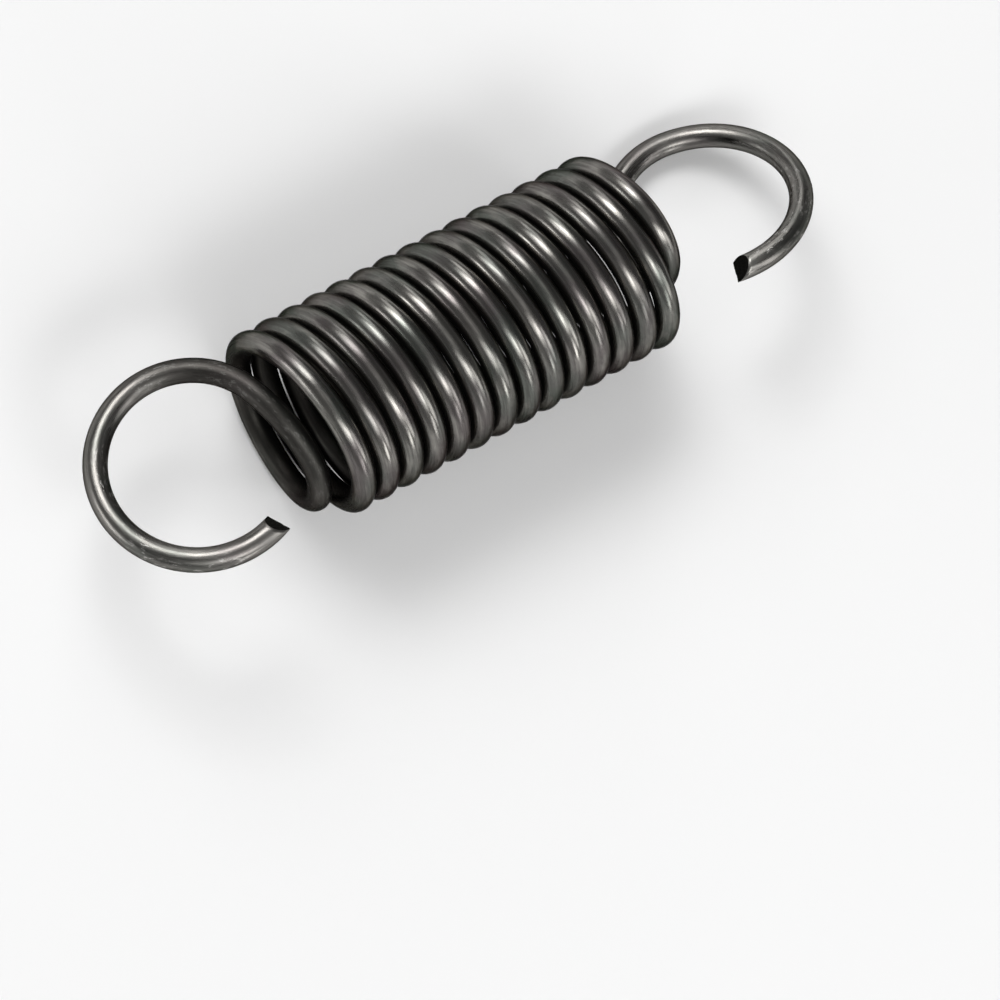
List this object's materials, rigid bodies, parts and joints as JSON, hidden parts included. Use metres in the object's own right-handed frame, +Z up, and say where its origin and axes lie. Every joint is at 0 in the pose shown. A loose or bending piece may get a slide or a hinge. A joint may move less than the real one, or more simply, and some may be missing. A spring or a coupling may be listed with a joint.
{
  "type": "extension spring",
  "caption": "Extension spring of round steel wire with an open loop at each end, for pulling two things together.",
  "frame": {"origin": "under the middle of the spring, on the surface it lies on", "axes": "+X along the coils' axis from the near loop to the far loop, +Z up from the surface"},
  "size_m": [0.0674, 0.018, 0.0171],
  "materials": {
    "spring_wire": "drawn spring steel, dark and lightly oiled"
  },
  "bodies": {
    "root": {"spring": "spring_wire"}
  },
  "joints": []
}
